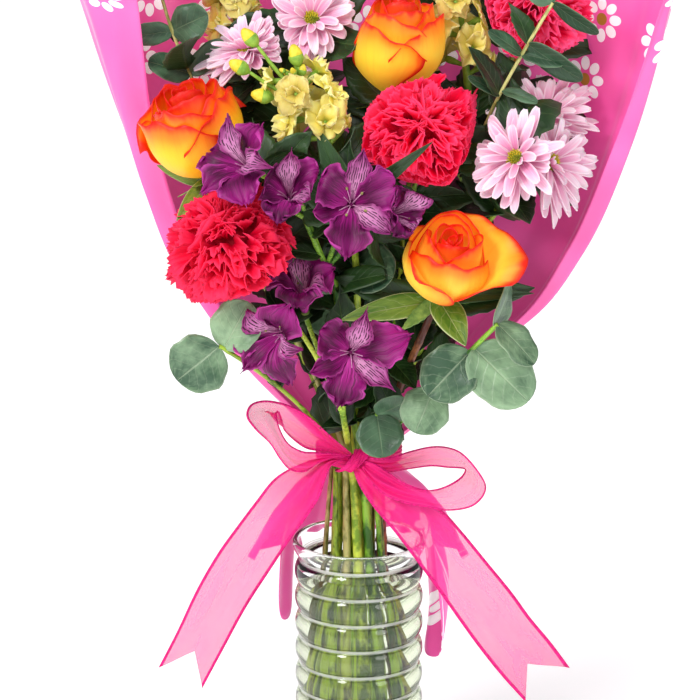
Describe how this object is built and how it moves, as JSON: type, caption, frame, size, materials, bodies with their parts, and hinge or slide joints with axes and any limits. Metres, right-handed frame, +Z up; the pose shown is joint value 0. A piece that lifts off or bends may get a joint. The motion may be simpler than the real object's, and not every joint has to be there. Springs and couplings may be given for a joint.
{
  "type": "mixed flower bouquet",
  "caption": "Hand-tied mix of roses, carnations, mums, alstroemeria, stock and eucalyptus in a pink wrap with a sheer bow, standing in water in a ringed glass vase.",
  "frame": {"origin": "centre of the vase's foot, on the surface that it stands on", "axes": "+Z up along the vase, -Y towards the front of the bouquet, +X to the right seen from the front"},
  "size_m": [0.4206, 0.2154, 0.652],
  "materials": {
    "glass": "clear pressed glass",
    "water": "clear water, faintly green",
    "wrap": "pink satin film with printed white daisy dots",
    "ribbon": "sheer hot pink organza with woven edges",
    "rose": "velvety petals, golden yellow with red-orange rims",
    "carnation": "frilled petals, coral red to red",
    "mum": "soft pink strap petals with paler edges",
    "disc": "yellow-green flower disc",
    "lily": "satiny purple petals with dark stripes",
    "stock": "pale yellow ruffled florets",
    "stem": "fresh green stems, calyces and sepals",
    "eucalyptus": "waxy grey-green leaves",
    "leaf": "satin dark green leaves"
  },
  "bodies": {
    "root": {"carnation_centre": "carnation", "carnation_centre_stem": "stem", "carnation_left": "carnation", "carnation_left_stem": "stem", "carnation_top": "carnation", "carnation_top_stem": "stem", "eucalyptus_front": "eucalyptus", "eucalyptus_left": "eucalyptus", "eucalyptus_middle": "eucalyptus", "eucalyptus_right": "eucalyptus", "eucalyptus_tip_left": "eucalyptus", "eucalyptus_tip_right": "eucalyptus", "leafy_greens": "leaf", "lily_bud": "lily", "lily_centre": "lily", "lily_front": "lily", "lily_left": "lily", "lily_low": "lily", "lily_lower_stem": "stem", "lily_right": "lily", "lily_top": "lily", "lily_top_stem": "stem", "lily_upper": "lily", "lily_upper_stem": "stem", "mum_back": "mum", "mum_back_disc": "disc", "mum_left": "mum", "mum_left_disc": "disc", "mum_left_stem": "stem", "mum_right": "mum", "mum_right_disc": "disc", "mum_right_stem": "stem", "mum_shade": "mum", "mum_shade_disc": "disc", "mum_side": "mum", "mum_side_disc": "disc", "mum_top": "mum", "mum_top_disc": "disc", "ribbon": "ribbon", "rose_front": "rose", "rose_front_stem": "stem", "rose_left": "rose", "rose_left_stem": "stem", "rose_top": "rose", "rose_top_stem": "stem", "stock_back": "stock", "stock_back_stem": "stem", "stock_front": "stock", "stock_front_stem": "stem", "stock_right": "stock", "stock_right_stem": "stem", "vase": "glass", "water": "water", "wrap": "wrap"}
  },
  "joints": []
}
